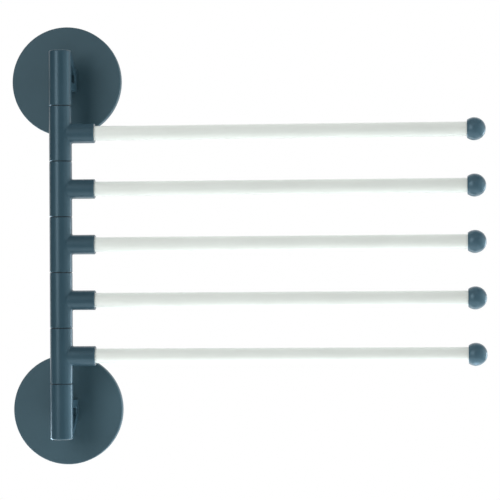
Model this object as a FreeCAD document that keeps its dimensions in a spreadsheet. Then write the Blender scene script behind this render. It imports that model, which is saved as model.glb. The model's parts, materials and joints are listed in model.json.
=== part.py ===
import FreeCAD, Part
import math
import os

import Sketcher

# Swing arm towel bar: five arms that swivel on one upright column, which two
# wall discs carry. Millimetres. The origin is the centre of the lower wall
# pad's back face. +X runs along the arms at rest, +Y points into the wall and
# +Z is up.

ARM_COUNT = 5
RIB_COUNT = 8

# How near an edge lies to the place that it is picked by.
PLACE_TOLERANCE = 0.01

# Driving dimensions: alias, value, what it measures.
DRIVING = (
    ("arm_pitch", 44.0, "height of one segment of the column, with its washer"),
    ("column_diameter", 18.0, "outside of the collars and holders"),
    ("axis_standoff", 38.0, "wall to the axis of the column"),
    ("edge_chamfer", 0.3, "rims that meet at a washer"),
    ("running_clearance", 0.06, "radial, collar on shaft"),
    ("seat_clearance", 0.03, "radial, pushed or pressed pieces"),
    ("shaft_diameter", 10.0, "steel shaft through the column"),
    ("shaft_chamfer", 0.6, "both ends of the shaft"),
    ("thread_diameter", 5.0, "tapped ends of the shaft, and their screws"),
    ("thread_depth", 14.0, "depth of each tapped end"),
    ("screw_length", 13.0, "shaft screw under its head"),
    ("screw_head_diameter", 9.5, "button head"),
    ("screw_head_height", 2.8, "button head"),
    ("screw_head_bevel", 1.4, "sloping side of the button head"),
    ("screw_hex", 3.0, "across the flats of the socket"),
    ("screw_hex_depth", 1.6, "depth of the socket"),
    ("washer_thickness", 0.5, "washer between two segments"),
    ("washer_inset", 0.5, "washer rim inside the column's face"),
    ("stub_diameter", 15.5, "outside of the arm socket"),
    ("stub_reach", 27.3, "column axis to the mouth of the socket"),
    ("stub_blend", 1.0, "fillet between stub and collar"),
    ("socket_floor", 10.8, "column axis to the floor of the socket"),
    ("mouth_chamfer", 0.4, "outer rim of the socket's mouth"),
    ("rod_diameter", 11.5, "outside of the arm"),
    ("rod_wall", 1.0, "wall of the arm's tube"),
    ("rod_length", 310.0, "cut length of the arm's tube"),
    ("ball_diameter", 18.0, "ball on the free end"),
    ("ball_flat", 5.6, "ball centre to the flat that meets the rod"),
    ("spigot_length", 12.0, "part of the ball inside the rod"),
    ("spigot_chamfer", 0.8, "lead-in of the spigot"),
    ("holder_round", 1.2, "round on the outer end of a holder"),
    ("plug_diameter", 13.4, "recess in the holder's outer end"),
    ("plug_thickness", 1.6, "face of the end plug"),
    ("plug_skirt", 3.4, "full height of the end plug"),
    ("plug_wall", 1.2, "skirt of the end plug"),
    ("plug_chamfer", 0.4, "outer rim of the end plug"),
    ("screw_recess", 9.0, "holder's outer end to the screw's seat"),
    ("screw_web", 3.0, "wall between the screw's seat and the shaft"),
    ("screw_hole", 5.4, "clearance hole in that wall"),
    ("bracket_width", 17.0, "bracket behind the holder"),
    ("bracket_base", 9.0, "thickness of the foot on the disc"),
    ("foot_inner", 8.6, "foot above the disc's centre, inner side"),
    ("foot_outer", 10.2, "foot below the disc's centre, outer side"),
    ("strut_height", 6.0, "straight strut on the inner side"),
    ("brace_height", 6.0, "sloping brace, measured upright"),
    ("brace_margin", 1.4, "brace above the holder's outer end"),
    ("brace_depth", 4.0, "column axis to the start of the slope"),
    ("window_round", 1.5, "corners of the bracket's window"),
    ("bracket_chamfer", 0.7, "long edges of the bracket"),
    ("insert_diameter", 9.0, "brass insert in the foot"),
    ("insert_length", 7.0, "brass insert in the foot"),
    ("insert_groove", 0.4, "depth of the groove that locks the insert"),
    ("disc_diameter", 88.0, "wall disc"),
    ("disc_depth", 8.4, "wall to the disc's front face"),
    ("disc_wall", 2.4, "front wall of the disc"),
    ("disc_rim", 2.2, "side wall of the disc"),
    ("disc_round", 2.0, "front edge of the disc"),
    ("wall_gap", 0.4, "disc rim clear of the wall"),
    ("rib_thickness", 1.4, "ribs behind the disc's front wall"),
    ("rib_clearance", 2.4, "hub of the anchor plate to the ribs"),
    ("pad_margin", 2.8, "disc's side wall to the edge of plate and pad"),
    ("pad_thickness", 1.2, "adhesive pad"),
    ("plate_thickness", 2.5, "anchor plate"),
    ("hub_diameter", 22.0, "hub of the anchor plate"),
    ("stud_diameter", 6.0, "wall stud"),
    ("stud_head_diameter", 14.0, "head let into the anchor plate"),
    ("stud_head_height", 1.6, "head let into the anchor plate"),
    ("stud_chamfer", 0.6, "front end of the stud"),
    ("stud_hole", 6.4, "clearance hole in the disc"),
)


class Size:
    """A number, with the spreadsheet formula that gives it."""

    def __init__(self, number, formula):
        self.number = number
        self.formula = formula

    def _join(self, number, left, sign, right):
        return Size(number, f"({formula_of(left)} {sign} {formula_of(right)})")

    def __add__(self, other):
        return self._join(self.number + number_of(other), self, "+", other)

    def __sub__(self, other):
        return self._join(self.number - number_of(other), self, "-", other)

    def __mul__(self, other):
        return self._join(self.number * number_of(other), self, "*", other)

    def __truediv__(self, other):
        return self._join(self.number / number_of(other), self, "/", other)

    def __neg__(self):
        return Size(-self.number, f"(-1 * {self.formula})")

    def root(self):
        """Return the square root."""
        return Size(math.sqrt(self.number), f"sqrt({self.formula})")


def number_of(value):
    """Return the plain number of a size or a number."""
    return value.number if isinstance(value, Size) else float(value)


def formula_of(value):
    """Return the formula of a size or a number."""
    return value.formula if isinstance(value, Size) else str(value)


def make_sheet(document):
    """Write the driving dimensions to a sheet and return them as sizes."""
    sheet = document.addObject("Spreadsheet::Sheet", "Sizes")
    sizes = {}
    for row, (alias, value, meaning) in enumerate(DRIVING, start=1):
        sheet.set(f"A{row}", meaning)
        sheet.set(f"B{row}", str(value))
        sheet.setAlias(f"B{row}", alias)
        sizes[alias] = Size(value, f"Sizes.{alias}")
    document.recompute()
    return sizes


doc = FreeCAD.newDocument("SwingArmTowelBar")
dim = make_sheet(doc)

# Places that several pieces share.
column_radius = dim["column_diameter"] / 2
holder_half = dim["arm_pitch"] / 2
joint_face = (dim["arm_pitch"] - dim["washer_thickness"]) / 2
shaft_radius = dim["shaft_diameter"] / 2
shaft_seat = holder_half - dim["screw_recess"] - dim["screw_web"]
mount_spacing = dim["arm_pitch"] * (ARM_COUNT + 1)
rod_radius = dim["rod_diameter"] / 2
stud_radius = dim["stud_diameter"] / 2
disc_inner_radius = dim["disc_diameter"] / 2 - dim["disc_rim"]
pad_radius = disc_inner_radius - dim["pad_margin"]
plate_front = dim["pad_thickness"] + dim["plate_thickness"]
disc_inside = dim["disc_depth"] - dim["disc_wall"]


# Drawing and feature helpers.


def new_body(name):
    """Add a body whose label names its node."""
    body = doc.addObject("PartDesign::Body", name)
    body.Label = name
    return body


def new_sketch(body, name, plane, lift=None):
    """Attach a sketch to one of the body's origin planes, lifted along its normal."""
    sketch = body.newObject("Sketcher::SketchObject", f"{body.Name}_{name}")
    origin_plane = [item for item in body.Origin.OriginFeatures if item.Role == plane][0]
    sketch.AttachmentSupport = [(origin_plane, "")]
    sketch.MapMode = "FlatFace"
    if lift is not None:
        sketch.setExpression("AttachmentOffset.Base.z", formula_of(lift))
    return sketch


def pin(sketch, label, element, end, across, up):
    """Fix one end of an element at a place given by two sizes."""
    for kind, value, axis in (("X", across, -2), ("Y", up, -1)):
        if isinstance(value, Size):
            rule = Sketcher.Constraint(f"Distance{kind}", -1, 1, element, end, value.number)
            index = sketch.addConstraint(rule)
            name = f"{label}_{kind.lower()}"
            sketch.renameConstraint(index, name)
            sketch.setExpression(f"Constraints.{name}", value.formula)
        else:
            sketch.addConstraint(Sketcher.Constraint("PointOnObject", element, end, axis))


def arc_centre(start, end, radius):
    """Return the centre, left of the way from start to end, of the arc between them."""
    half = (end - start) * 0.5
    left = FreeCAD.Vector(-half.y, half.x, 0).normalize()
    return start + half + left * math.sqrt(max(radius**2 - half.Length**2, 0.0))


def draw_outline(sketch, corners):
    """Draw a closed outline, anticlockwise, through its corners.

    A corner is (across, up). A third value is the radius of the outward arc
    that leads from that corner to the next one.
    """
    places = [FreeCAD.Vector(number_of(c[0]), number_of(c[1]), 0) for c in corners]
    elements = []
    for index, corner in enumerate(corners):
        start = places[index]
        end = places[(index + 1) % len(corners)]
        if len(corner) == 3:
            radius = number_of(corner[2])
            centre = arc_centre(start, end, radius)
            first = math.atan2(start.y - centre.y, start.x - centre.x)
            last = math.atan2(end.y - centre.y, end.x - centre.x)
            circle = Part.Circle(centre, FreeCAD.Vector(0, 0, 1), radius)
            element = sketch.addGeometry(Part.ArcOfCircle(circle, first, last), False)
            rule = sketch.addConstraint(Sketcher.Constraint("Radius", element, radius))
            sketch.renameConstraint(rule, f"arc_{index}")
            sketch.setExpression(f"Constraints.arc_{index}", formula_of(corner[2]))
        else:
            element = sketch.addGeometry(Part.LineSegment(start, end), False)
        elements.append(element)
    for index, element in enumerate(elements):
        follower = elements[(index + 1) % len(elements)]
        sketch.addConstraint(Sketcher.Constraint("Coincident", element, 2, follower, 1))
        pin(sketch, f"corner_{index}", element, 1, corners[index][0], corners[index][1])


def draw_circle(sketch, label, radius, across=0, up=0):
    """Draw a circle of a given radius."""
    centre = FreeCAD.Vector(number_of(across), number_of(up), 0)
    circle = Part.Circle(centre, FreeCAD.Vector(0, 0, 1), number_of(radius))
    element = sketch.addGeometry(circle, False)
    rule = sketch.addConstraint(Sketcher.Constraint("Radius", element, number_of(radius)))
    sketch.renameConstraint(rule, label)
    sketch.setExpression(f"Constraints.{label}", formula_of(radius))
    pin(sketch, f"{label}_centre", element, 3, across, up)


def turn(body, name, plane, axis, corners, feature="PartDesign::Revolution"):
    """Revolve an outline about a sketch axis, or cut with it."""
    sketch = new_sketch(body, f"{name}_profile", plane)
    draw_outline(sketch, corners)
    turned = body.newObject(feature, f"{body.Name}_{name}")
    turned.Profile = sketch
    turned.ReferenceAxis = (sketch, [axis])
    turned.Angle = 360
    sketch.Visibility = False
    return turned


def groove(body, name, plane, axis, corners):
    """Cut a revolved outline out of the body, and check that it cuts."""
    doc.recompute()
    volume = body.Shape.Volume
    cut = turn(body, name, plane, axis, corners, "PartDesign::Groove")
    doc.recompute()
    if body.Shape.Volume >= volume:
        raise ValueError(f"{cut.Name} cuts nothing")
    return cut


def extrude(body, name, sketch, length, feature="PartDesign::Pad", symmetric=False):
    """Pad or pocket a sketch by a length."""
    block = body.newObject(feature, f"{body.Name}_{name}")
    block.Profile = sketch
    block.setExpression("Length", formula_of(length))
    if symmetric:
        block.SideType = "Symmetric"
    sketch.Visibility = False
    return block


def pocket(body, name, sketch, length, reverse=False):
    """Cut a sketch into the body, and check that it cuts."""
    doc.recompute()
    volume = body.Shape.Volume
    cut = extrude(body, name, sketch, length, "PartDesign::Pocket")
    cut.Reversed = reverse
    doc.recompute()
    if body.Shape.Volume >= volume:
        raise ValueError(f"{cut.Name} cuts nothing")
    return cut


def edge_feature(body, name, kind, wanted):
    """Add a fillet or chamfer on the edges that the test picks."""
    doc.recompute()
    base = body.Tip
    names = [f"Edge{i}" for i, edge in enumerate(base.Shape.Edges, start=1) if wanted(edge)]
    feature = body.newObject(kind, f"{body.Name}_{name}")
    feature.Base = (base, names)
    return feature


def place(body, across=0, depth=0, height=0, flipped=False):
    """Put a body in the row frame; a flipped one is turned half round on the Y axis."""
    if flipped:
        body.Placement.Rotation = FreeCAD.Rotation(FreeCAD.Vector(0, 1, 0), 180)
    for letter, value in (("x", across), ("y", depth), ("z", height)):
        if isinstance(value, Size):
            body.setExpression(f"Placement.Base.{letter}", value.formula)


# The column.


def make_shaft():
    """Make the steel shaft, tapped at both ends, from one holder to the other."""
    body = new_body("column_shaft")
    low = -shaft_seat
    high = mount_spacing + shaft_seat
    tap = dim["thread_diameter"] / 2
    chamfer = dim["shaft_chamfer"]
    turn(body, "bar", "XZ_Plane", "V_Axis", [
        (0, low + dim["thread_depth"]),
        (tap, low + dim["thread_depth"]),
        (tap, low),
        (shaft_radius - chamfer, low),
        (shaft_radius, low + chamfer),
        (shaft_radius, high - chamfer),
        (shaft_radius - chamfer, high),
        (tap, high),
        (tap, high - dim["thread_depth"]),
        (0, high - dim["thread_depth"]),
    ])
    place(body, depth=-dim["axis_standoff"])
    return body


def make_washer(number):
    """Make the thin washer at one joint of the column, counted from the top."""
    body = new_body(f"joint_washer_{number}")
    sketch = new_sketch(body, "ring", "XY_Plane")
    draw_circle(sketch, "rim", column_radius - dim["washer_inset"])
    draw_circle(sketch, "hole", shaft_radius + dim["running_clearance"])
    extrude(body, "disc", sketch, dim["washer_thickness"], symmetric=True)
    joint = dim["arm_pitch"] * (ARM_COUNT + 1 - number) + holder_half
    place(body, depth=-dim["axis_standoff"], height=joint)
    return body


# The arms.


def make_collar(number):
    """Make the moulded tee that turns on the shaft and holds one arm."""
    body = new_body(f"arm_collar_{number}")
    rim = dim["edge_chamfer"]
    turn(body, "barrel", "YZ_Plane", "V_Axis", [
        (0, -joint_face),
        (column_radius - rim, -joint_face),
        (column_radius, rim - joint_face),
        (column_radius, joint_face - rim),
        (column_radius - rim, joint_face),
        (0, joint_face),
    ])
    stub = new_sketch(body, "stub_ring", "YZ_Plane")
    draw_circle(stub, "stub", dim["stub_diameter"] / 2)
    extrude(body, "stub", stub, dim["stub_reach"])
    blend = edge_feature(body, "saddle", "PartDesign::Fillet", is_saddle)
    blend.setExpression("Radius", dim["stub_blend"].formula)
    bore = shaft_radius + dim["running_clearance"]
    groove(body, "bore", "YZ_Plane", "V_Axis", [
        (0, -joint_face),
        (bore, -joint_face),
        (bore, joint_face),
        (0, joint_face),
    ])
    socket = rod_radius + dim["seat_clearance"]
    mouth = dim["stub_reach"] - dim["mouth_chamfer"]
    groove(body, "socket", "XZ_Plane", "H_Axis", [
        (dim["socket_floor"], 0),
        (dim["stub_reach"], 0),
        (dim["stub_reach"], socket),
        (dim["socket_floor"], socket),
    ])
    groove(body, "mouth", "XZ_Plane", "H_Axis", [
        (mouth, dim["stub_diameter"] / 2),
        (dim["stub_reach"], dim["stub_diameter"] / 2 - dim["mouth_chamfer"]),
        (dim["stub_reach"], dim["stub_diameter"] / 2),
    ])
    place(body, depth=-dim["axis_standoff"], height=dim["arm_pitch"] * (ARM_COUNT + 1 - number))
    return body


def is_saddle(edge):
    """Tell the curved seam where the stub leaves the barrel."""
    return edge.Curve.TypeId not in ("Part::GeomLine", "Part::GeomCircle")


def make_rod(number):
    """Make the tube of one arm, which stands on the floor of its socket."""
    body = new_body(f"arm_rod_{number}")
    sketch = new_sketch(body, "ring", "YZ_Plane")
    draw_circle(sketch, "outside", rod_radius)
    draw_circle(sketch, "inside", rod_radius - dim["rod_wall"])
    extrude(body, "tube", sketch, dim["rod_length"])
    height = dim["arm_pitch"] * (ARM_COUNT + 1 - number)
    place(body, dim["socket_floor"], -dim["axis_standoff"], height)
    return body


def make_ball(number):
    """Make the ball of one arm's free end, cut flat, with its spigot."""
    body = new_body(f"arm_ball_{number}")
    radius = dim["ball_diameter"] / 2
    flat = dim["ball_flat"]
    flat_radius = (radius * radius - flat * flat).root()
    spigot = rod_radius - dim["rod_wall"] - dim["seat_clearance"]
    tail = flat + dim["spigot_length"]
    turn(body, "ball", "XZ_Plane", "H_Axis", [
        (-tail, 0),
        (radius, 0, radius),
        (-flat, flat_radius),
        (-flat, spigot),
        (dim["spigot_chamfer"] - tail, spigot),
        (-tail, spigot - dim["spigot_chamfer"]),
    ])
    height = dim["arm_pitch"] * (ARM_COUNT + 1 - number)
    centre = dim["socket_floor"] + dim["rod_length"] + flat
    place(body, centre, -dim["axis_standoff"], height)
    return body


# The two wall mounts. Both are the same pieces; the upper set is turned half
# round, so that its holder opens downwards.


def make_holder(side, flipped):
    """Make the moulded holder: end of the column, with an open bracket behind."""
    body = new_body(f"{side}_holder")
    add_bracket(body)
    rim = dim["edge_chamfer"]
    end_round = dim["holder_round"]
    turn(body, "barrel", "XZ_Plane", "V_Axis", [
        (0, -holder_half),
        (column_radius - end_round, -holder_half, end_round),
        (column_radius, end_round - holder_half),
        (column_radius, joint_face - rim),
        (column_radius - rim, joint_face),
        (0, joint_face),
    ])
    add_shaft_seat(body)
    add_insert_hole(body)
    place(body, 0, -dim["axis_standoff"], mount_spacing if flipped else 0, flipped)
    return body


def add_bracket(body):
    """Start the holder with its bracket: foot, straight strut, sloping brace, open window."""
    back = dim["axis_standoff"] - dim["disc_depth"]
    foot = back - dim["bracket_base"]
    strut_under = dim["foot_inner"] - dim["strut_height"]
    brace_end = holder_half - dim["brace_margin"]
    slope = (brace_end - dim["foot_outer"]) / (foot - dim["brace_depth"])
    sketch = new_sketch(body, "bracket_profile", "YZ_Plane")
    draw_outline(sketch, [
        (0, -brace_end),
        (dim["brace_depth"], -brace_end),
        (foot, -dim["foot_outer"]),
        (back, -dim["foot_outer"]),
        (back, dim["foot_inner"]),
        (0, dim["foot_inner"]),
        (0, strut_under),
        (foot, strut_under),
        (foot, dim["brace_height"] - dim["foot_outer"]),
        (0, dim["brace_height"] - dim["foot_outer"] - foot * slope),
    ])
    extrude(body, "bracket", sketch, dim["bracket_width"], symmetric=True)
    corners = (strut_under.number, dim["brace_height"].number - dim["foot_outer"].number)
    width = dim["bracket_width"].number

    def is_window_corner(edge):
        box = edge.BoundBox
        across = abs(box.XLength - width) < PLACE_TOLERANCE
        on_foot = abs(box.Center.y - foot.number) < PLACE_TOLERANCE
        return across and on_foot and min(abs(box.Center.z - z) for z in corners) < PLACE_TOLERANCE

    rounded = edge_feature(body, "window", "PartDesign::Fillet", is_window_corner)
    rounded.setExpression("Radius", dim["window_round"].formula)

    def is_long_edge(edge):
        box = edge.BoundBox
        on_side = abs(abs(box.Center.x) - width / 2) < PLACE_TOLERANCE > box.XLength
        return on_side and box.YMax < back.number - PLACE_TOLERANCE

    bevel = edge_feature(body, "bevel", "PartDesign::Chamfer", is_long_edge)
    bevel.setExpression("Size", dim["bracket_chamfer"].formula)


def add_shaft_seat(body):
    """Cut the shaft's bore, the screw's hole and the recess for screw head and plug."""
    bore = shaft_radius + dim["seat_clearance"]
    recess = dim["plug_diameter"] / 2
    seat = dim["screw_recess"] - holder_half
    groove(body, "seat", "XZ_Plane", "V_Axis", [
        (0, -holder_half),
        (recess, -holder_half),
        (recess, seat),
        (dim["screw_hole"] / 2, seat),
        (dim["screw_hole"] / 2, -shaft_seat),
        (bore, -shaft_seat),
        (bore, joint_face),
        (0, joint_face),
    ])


def add_insert_hole(body):
    """Cut the blind hole for the brass insert into the foot's back."""
    back = dim["axis_standoff"] - dim["disc_depth"]
    groove(body, "insert_hole", "XY_Plane", "V_Axis", [
        (0, back - dim["insert_length"]),
        (dim["insert_diameter"] / 2 + dim["seat_clearance"], back - dim["insert_length"]),
        (dim["insert_diameter"] / 2 + dim["seat_clearance"], back),
        (0, back),
    ])


def make_end_plug(side, flipped):
    """Make the cup that closes the holder's outer end over the screw."""
    body = new_body(f"{side}_end_plug")
    radius = dim["plug_diameter"] / 2 - dim["seat_clearance"]
    inner = radius - dim["plug_wall"]
    chamfer = dim["plug_chamfer"]
    face = -holder_half
    turn(body, "cup", "XZ_Plane", "V_Axis", [
        (0, face),
        (radius - chamfer, face),
        (radius, face + chamfer),
        (radius, face + dim["plug_skirt"]),
        (inner, face + dim["plug_skirt"]),
        (inner, face + dim["plug_thickness"]),
        (0, face + dim["plug_thickness"]),
    ])
    place(body, 0, -dim["axis_standoff"], mount_spacing if flipped else 0, flipped)
    return body


def make_shaft_screw(side, flipped):
    """Make the button head screw that holds the shaft in the holder."""
    body = new_body(f"{side}_shaft_screw")
    seat = dim["screw_recess"] - holder_half
    head = dim["screw_head_diameter"] / 2
    thread = dim["thread_diameter"] / 2 - dim["seat_clearance"]
    crown = seat - dim["screw_head_height"]
    hex_edge = dim["screw_hex"] / 2
    turn(body, "screw", "XZ_Plane", "V_Axis", [
        (0, crown),
        (head - dim["screw_head_bevel"], crown),
        (head, crown + dim["screw_head_bevel"]),
        (head, seat),
        (thread, seat),
        (thread, seat + dim["screw_length"]),
        (0, seat + dim["screw_length"]),
    ])
    sketch = new_sketch(body, "hex", "XY_Plane", crown)
    corner = hex_edge * 2 / math.sqrt(3)
    draw_outline(sketch, [
        (corner, 0),
        (corner / 2, hex_edge),
        (-corner / 2, hex_edge),
        (-corner, 0),
        (-corner / 2, -hex_edge),
        (corner / 2, -hex_edge),
    ])
    pocket(body, "socket", sketch, dim["screw_hex_depth"], reverse=True)
    place(body, 0, -dim["axis_standoff"], mount_spacing if flipped else 0, flipped)
    return body


def make_thread_insert(side, flipped):
    """Make the brass insert that the stud screws into."""
    body = new_body(f"{side}_thread_insert")
    outside = dim["insert_diameter"] / 2
    waist = outside - dim["insert_groove"]
    bore = stud_radius + dim["seat_clearance"]
    start = -dim["disc_depth"] - dim["insert_length"]
    collar = dim["insert_length"] / 3
    turn(body, "sleeve", "XY_Plane", "V_Axis", [
        (bore, start),
        (outside, start),
        (outside, start + collar),
        (waist, start + collar),
        (waist, start + collar * 2),
        (outside, start + collar * 2),
        (outside, -dim["disc_depth"]),
        (bore, -dim["disc_depth"]),
    ])
    place(body, height=mount_spacing if flipped else 0, flipped=flipped)
    return body


def make_wall_disc(side, flipped):
    """Make the moulded disc: dished shell with a rounded edge and ribs inside."""
    body = new_body(f"{side}_wall_disc")
    radius = dim["disc_diameter"] / 2
    hole = dim["stud_hole"] / 2
    front = -dim["disc_depth"]
    edge = dim["disc_round"]
    turn(body, "shell", "XY_Plane", "V_Axis", [
        (hole, front),
        (radius - edge, front, edge),
        (radius, front + edge),
        (radius, -dim["wall_gap"]),
        (disc_inner_radius, -dim["wall_gap"]),
        (disc_inner_radius, -disc_inside),
        (hole, -disc_inside),
    ])
    sketch = new_sketch(body, "rib_outline", "XZ_Plane", plate_front)
    half = dim["rib_thickness"] / 2
    start = dim["hub_diameter"] / 2 + dim["rib_clearance"]
    draw_outline(sketch, [
        (start, -half),
        (disc_inner_radius, -half),
        (disc_inner_radius, half),
        (start, half),
    ])
    rib = extrude(body, "rib", sketch, disc_inside - plate_front)
    doc.recompute()
    ribs = body.newObject("PartDesign::PolarPattern", f"{body.Name}_ribs")
    ribs.Originals = [rib]
    ribs.Axis = (sketch, ["N_Axis"])
    ribs.Angle = 360
    ribs.Occurrences = RIB_COUNT
    body.Tip = ribs
    place(body, height=mount_spacing if flipped else 0, flipped=flipped)
    return body


def make_anchor_plate(side, flipped):
    """Make the plate on the pad: its hub carries the disc, its back holds the stud."""
    body = new_body(f"{side}_anchor_plate")
    head = dim["stud_head_diameter"] / 2 + dim["seat_clearance"]
    bore = stud_radius + dim["seat_clearance"]
    hub = dim["hub_diameter"] / 2
    back = -dim["pad_thickness"]
    floor = back - dim["stud_head_height"]
    turn(body, "plate", "XY_Plane", "V_Axis", [
        (head, back),
        (head, floor),
        (bore, floor),
        (bore, -disc_inside),
        (hub, -disc_inside),
        (hub, -plate_front),
        (pad_radius, -plate_front),
        (pad_radius, back),
    ])
    place(body, height=mount_spacing if flipped else 0, flipped=flipped)
    return body


def make_wall_stud(side, flipped):
    """Make the headed stud that ties plate, disc and holder together."""
    body = new_body(f"{side}_wall_stud")
    head = dim["stud_head_diameter"] / 2
    back = -dim["pad_thickness"]
    floor = back - dim["stud_head_height"]
    tip = -dim["disc_depth"] - dim["insert_length"] + dim["stud_chamfer"]
    turn(body, "stud", "XY_Plane", "V_Axis", [
        (0, tip),
        (stud_radius - dim["stud_chamfer"], tip),
        (stud_radius, tip + dim["stud_chamfer"]),
        (stud_radius, floor),
        (head, floor),
        (head, back),
        (0, back),
    ])
    place(body, height=mount_spacing if flipped else 0, flipped=flipped)
    return body


def make_wall_pad(side, flipped):
    """Make the round adhesive pad that meets the wall."""
    body = new_body(f"{side}_wall_pad")
    sketch = new_sketch(body, "round", "XZ_Plane")
    draw_circle(sketch, "rim", pad_radius)
    extrude(body, "foam", sketch, dim["pad_thickness"])
    place(body, height=mount_spacing if flipped else 0, flipped=flipped)
    return body


MOUNT_PIECES = (
    make_wall_pad,
    make_anchor_plate,
    make_wall_stud,
    make_wall_disc,
    make_holder,
    make_thread_insert,
    make_shaft_screw,
    make_end_plug,
)


def check(document, bodies):
    """Stop if any object failed or any piece is not one sound solid."""
    for item in document.Objects:
        if "Invalid" in item.State or "Error" in item.State:
            raise ValueError(f"{item.Name} failed: {item.State}")
    for body in bodies:
        shape = body.Shape
        if shape.isNull() or not shape.isValid() or len(shape.Solids) != 1:
            raise ValueError(f"{body.Label} is not one valid solid")


def export(bodies):
    """Write one STEP file for each piece."""
    os.makedirs("parts", exist_ok=True)
    for body in bodies:
        body.Shape.exportStep(f"parts/{body.Label}.step")


pieces = [make_shaft()]
for joint_number in range(1, ARM_COUNT + 2):
    pieces.append(make_washer(joint_number))
for arm_number in range(1, ARM_COUNT + 1):
    pieces.append(make_collar(arm_number))
    pieces.append(make_rod(arm_number))
    pieces.append(make_ball(arm_number))
for side_name, turned_over in (("lower", False), ("upper", True)):
    for make_piece in MOUNT_PIECES:
        pieces.append(make_piece(side_name, turned_over))

doc.recompute()
check(doc, pieces)
export(pieces)
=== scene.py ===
import json
import logging
import math
from dataclasses import dataclass
from enum import Enum
from typing import Any, Iterable, Sequence

import bmesh
import bpy
from mathutils import Matrix, Vector


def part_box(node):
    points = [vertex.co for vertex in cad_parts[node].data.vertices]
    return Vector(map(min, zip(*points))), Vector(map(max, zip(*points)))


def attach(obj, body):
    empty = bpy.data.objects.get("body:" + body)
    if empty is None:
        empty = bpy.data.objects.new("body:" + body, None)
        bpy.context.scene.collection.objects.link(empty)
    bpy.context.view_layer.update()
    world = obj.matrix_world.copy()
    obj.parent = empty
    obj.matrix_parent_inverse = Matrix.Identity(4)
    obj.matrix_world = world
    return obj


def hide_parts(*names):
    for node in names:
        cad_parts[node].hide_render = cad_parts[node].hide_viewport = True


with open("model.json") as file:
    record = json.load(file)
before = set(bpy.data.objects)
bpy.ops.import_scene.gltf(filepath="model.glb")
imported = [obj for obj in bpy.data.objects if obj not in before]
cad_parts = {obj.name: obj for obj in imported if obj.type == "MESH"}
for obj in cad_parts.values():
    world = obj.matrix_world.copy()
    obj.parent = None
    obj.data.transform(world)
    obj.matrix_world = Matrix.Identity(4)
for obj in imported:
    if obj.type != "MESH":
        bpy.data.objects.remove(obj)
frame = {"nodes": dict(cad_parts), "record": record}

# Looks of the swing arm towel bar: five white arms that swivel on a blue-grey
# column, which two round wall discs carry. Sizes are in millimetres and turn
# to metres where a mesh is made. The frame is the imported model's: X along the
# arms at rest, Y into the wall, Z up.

LOG = logging.getLogger("towel_bar")
MM = 0.001
ARM_NUMBERS = range(1, 6)
JOINT_NUMBERS = range(1, 7)
PLASTIC = "blue_grey_plastic"

# Points closer than this are welded, in metres.
WELD = 0.002 * MM
# An edge that bends by more than this many degrees is sharp.
CREASE = 30.0
# How far a cutting tool reaches past the face that it cuts, in millimetres.
OVERCUT = 1.0
# The part of a noise pattern, from 0 to 1, over which a colour drifts.
DRIFT_SPAN = (0.3, 0.7)

# A corner of a turned outline: distance from the axis, place along it, radius of its round.
Corner = tuple[float, float, float]
NodeValues = dict[str | int, Any]
NodeLinks = dict[str | int, bpy.types.NodeSocket]


def linear(code: str) -> tuple[float, float, float, float]:
    """Turn an sRGB hex colour into linear light.

    Args:
        code: six hex digits after a hash.

    Returns:
        Red, green, blue and an alpha of 1.
    """
    parts = [int(code[i:i + 2], 16) / 255 for i in (1, 3, 5)]
    light = [p / 12.92 if p <= 0.04045 else ((p + 0.055) / 1.055) ** 2.4 for p in parts]
    return (*light, 1.0)


def add_node(tree: bpy.types.NodeTree, kind: str, values: NodeValues | None = None,
             links: NodeLinks | None = None, **settings: Any) -> bpy.types.Node:
    """Add a node with its settings, socket values and incoming links.

    Args:
        tree: the node tree.
        kind: the node's type.
        values: what each named or numbered input holds.
        links: the output that feeds each named or numbered input.
        settings: the node's own options.

    Returns:
        The new node.
    """
    node = tree.nodes.new(kind)
    for name, value in settings.items():
        setattr(node, name, value)
    for name, value in (values or {}).items():
        node.inputs[name].default_value = value
    for name, source in (links or {}).items():
        tree.links.new(source, node.inputs[name])
    return node


# Finishes.


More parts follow.
